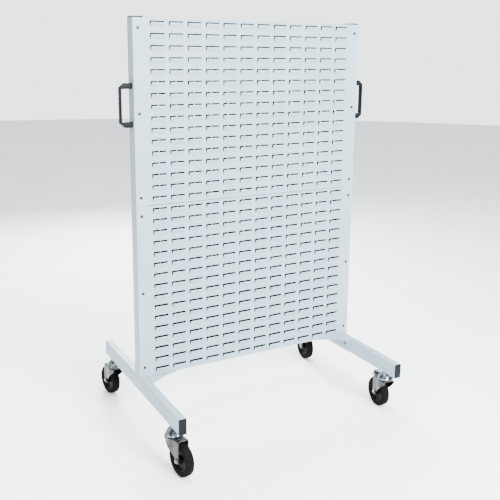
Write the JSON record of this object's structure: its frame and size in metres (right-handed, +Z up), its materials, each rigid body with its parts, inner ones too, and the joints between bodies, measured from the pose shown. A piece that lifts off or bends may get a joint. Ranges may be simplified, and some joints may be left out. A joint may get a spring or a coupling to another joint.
{
  "type": "louvred panel trolley",
  "caption": "Double-sided louvred panel trolley for hanging storage bins: steel posts on two long feet with swivel castors, two of them braked, and a bow handle at each side.",
  "frame": {"origin": "on the floor under the middle of the trolley, at the centre of its footprint", "axes": "+Z up, +X along the panels to the right seen from the front, -Y out of the front"},
  "size_m": [1.094, 0.872, 1.612],
  "materials": {
    "powder_coat": "light grey satin powder coat with a fine texture",
    "zinc_plate": "bright bluish zinc plate",
    "black_plastic": "moulded, lightly grained",
    "hub_plastic": "moulded, satin",
    "tyre_rubber": "moulded, slightly dusty"
  },
  "bodies": {
    "trolley_frame": {"left_foot": "powder_coat", "right_foot": "powder_coat", "left_post": "powder_coat", "right_post": "powder_coat", "bottom_rail": "powder_coat", "top_rail": "powder_coat", "left_gusset": "powder_coat", "right_gusset": "powder_coat", "front_lower_panel": "powder_coat", "front_upper_panel": "powder_coat", "rear_lower_panel": "powder_coat", "rear_upper_panel": "powder_coat", "left_post_cap": "black_plastic", "right_post_cap": "black_plastic", "left_foot_front_plug": "black_plastic", "left_foot_rear_plug": "black_plastic", "right_foot_front_plug": "black_plastic", "right_foot_rear_plug": "black_plastic", "left_handle": "black_plastic", "right_handle": "black_plastic", "left_gusset_front_bolt": "zinc_plate", "left_gusset_rear_bolt": "zinc_plate", "right_gusset_front_bolt": "zinc_plate", "right_gusset_rear_bolt": "zinc_plate", "front_left_castor_head": "zinc_plate", "front_left_kingpin": "zinc_plate", "rear_left_castor_head": "zinc_plate", "rear_left_kingpin": "zinc_plate", "front_right_castor_head": "zinc_plate", "front_right_kingpin": "zinc_plate", "rear_right_castor_head": "zinc_plate", "rear_right_kingpin": "zinc_plate"},
    "front_left_castor_fork": {"front_left_fork": "zinc_plate", "front_left_ball_race": "zinc_plate", "front_left_axle": "zinc_plate", "front_left_axle_nut": "zinc_plate"},
    "front_left_castor_wheel": {"front_left_hub": "hub_plastic", "front_left_tyre": "tyre_rubber"},
    "rear_left_castor_fork": {"rear_left_fork": "zinc_plate", "rear_left_ball_race": "zinc_plate", "rear_left_axle": "zinc_plate", "rear_left_axle_nut": "zinc_plate"},
    "rear_left_castor_wheel": {"rear_left_hub": "hub_plastic", "rear_left_tyre": "tyre_rubber"},
    "front_right_castor_fork": {"front_right_fork": "zinc_plate", "front_right_ball_race": "zinc_plate", "front_right_axle": "zinc_plate", "front_right_axle_nut": "zinc_plate"},
    "front_right_castor_wheel": {"front_right_hub": "hub_plastic", "front_right_tyre": "tyre_rubber"},
    "front_right_castor_brake": {"front_right_brake_pedal": "zinc_plate"},
    "rear_right_castor_fork": {"rear_right_fork": "zinc_plate", "rear_right_ball_race": "zinc_plate", "rear_right_axle": "zinc_plate", "rear_right_axle_nut": "zinc_plate"},
    "rear_right_castor_wheel": {"rear_right_hub": "hub_plastic", "rear_right_tyre": "tyre_rubber"},
    "rear_right_castor_brake": {"rear_right_brake_pedal": "zinc_plate"}
  },
  "joints": [
    {"name": "front_left_swivel", "type": "hinge", "parent": "trolley_frame", "child": "front_left_castor_fork", "pos_m": [-0.485, -0.327, 0.15], "axis": [0, 0, 1], "continuous": true},
    {"name": "front_left_roll", "type": "hinge", "parent": "front_left_castor_fork", "child": "front_left_castor_wheel", "pos_m": [-0.47765, -0.37342, 0.0625], "axis": [0.9877, 0.1564, 0], "continuous": true},
    {"name": "rear_left_swivel", "type": "hinge", "parent": "trolley_frame", "child": "rear_left_castor_fork", "pos_m": [-0.485, 0.327, 0.15], "axis": [0, 0, 1], "continuous": true},
    {"name": "rear_left_roll", "type": "hinge", "parent": "rear_left_castor_fork", "child": "rear_left_castor_wheel", "pos_m": [-0.49235, 0.37342, 0.0625], "axis": [-0.9877, -0.1564, 0], "continuous": true},
    {"name": "front_right_swivel", "type": "hinge", "parent": "trolley_frame", "child": "front_right_castor_fork", "pos_m": [0.485, -0.327, 0.15], "axis": [0, 0, 1], "continuous": true},
    {"name": "front_right_roll", "type": "hinge", "parent": "front_right_castor_fork", "child": "front_right_castor_wheel", "pos_m": [0.48991, -0.28026, 0.0625], "axis": [-0.9945, 0.1045, 0], "continuous": true},
    {"name": "front_right_brake", "type": "hinge", "parent": "front_right_castor_fork", "child": "front_right_castor_brake", "pos_m": [0.48834, -0.29518, 0.1298], "axis": [-0.9945, 0.1045, 0], "range_deg": [0, 10]},
    {"name": "rear_right_swivel", "type": "hinge", "parent": "trolley_frame", "child": "rear_right_castor_fork", "pos_m": [0.485, 0.327, 0.15], "axis": [0, 0, 1], "continuous": true},
    {"name": "rear_right_roll", "type": "hinge", "parent": "rear_right_castor_fork", "child": "rear_right_castor_wheel", "pos_m": [0.48009, 0.28026, 0.0625], "axis": [0.9945, -0.1045, 0], "continuous": true},
    {"name": "rear_right_brake", "type": "hinge", "parent": "rear_right_castor_fork", "child": "rear_right_castor_brake", "pos_m": [0.48165, 0.29518, 0.1298], "axis": [0.9945, -0.1045, 0], "range_deg": [0, 10]}
  ]
}
